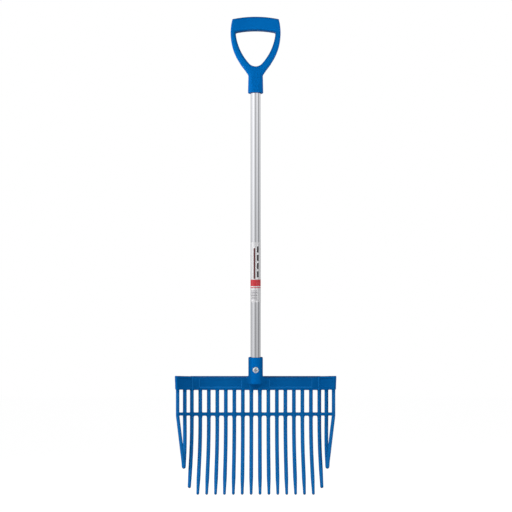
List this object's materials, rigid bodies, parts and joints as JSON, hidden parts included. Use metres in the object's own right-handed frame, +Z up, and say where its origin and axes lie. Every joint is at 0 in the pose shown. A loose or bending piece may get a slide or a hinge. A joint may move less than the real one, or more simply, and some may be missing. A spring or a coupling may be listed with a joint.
{
  "type": "manure fork",
  "caption": "Long-handled manure fork: blue moulded basket head with bent tines and side wings, aluminium tube shaft and moulded D-grip.",
  "frame": {"origin": "the point the fork hangs by: the middle of the underside of the grip's cross bar, on the shaft axis", "axes": "+Z up along the shaft from the tines to the grip, -Y the front that the tines bend towards, +X to the right seen from the front"},
  "size_m": [0.397, 0.1366, 1.158],
  "materials": {
    "blue_plastic": "satin moulded",
    "aluminium": "satin drawn tube",
    "zinc_steel": "bright zinc plated",
    "label_film": "thin satin film"
  },
  "bodies": {
    "root": {"grip": "blue_plastic", "grip_screw": "zinc_steel", "shaft_tube": "aluminium", "shaft_label": "label_film", "head_body": "blue_plastic", "cross_rib": "blue_plastic", "side_tine_left": "blue_plastic", "side_tine_right": "blue_plastic", "head_screw": "zinc_steel", "head_washer": "zinc_steel", "head_nut": "zinc_steel", "tine_01": "blue_plastic", "tine_02": "blue_plastic", "tine_03": "blue_plastic", "tine_04": "blue_plastic", "tine_05": "blue_plastic", "tine_06": "blue_plastic", "tine_07": "blue_plastic", "tine_08": "blue_plastic", "tine_09": "blue_plastic", "tine_10": "blue_plastic", "tine_11": "blue_plastic", "tine_12": "blue_plastic", "tine_13": "blue_plastic", "tine_14": "blue_plastic", "tine_15": "blue_plastic", "tine_16": "blue_plastic"}
  },
  "joints": []
}
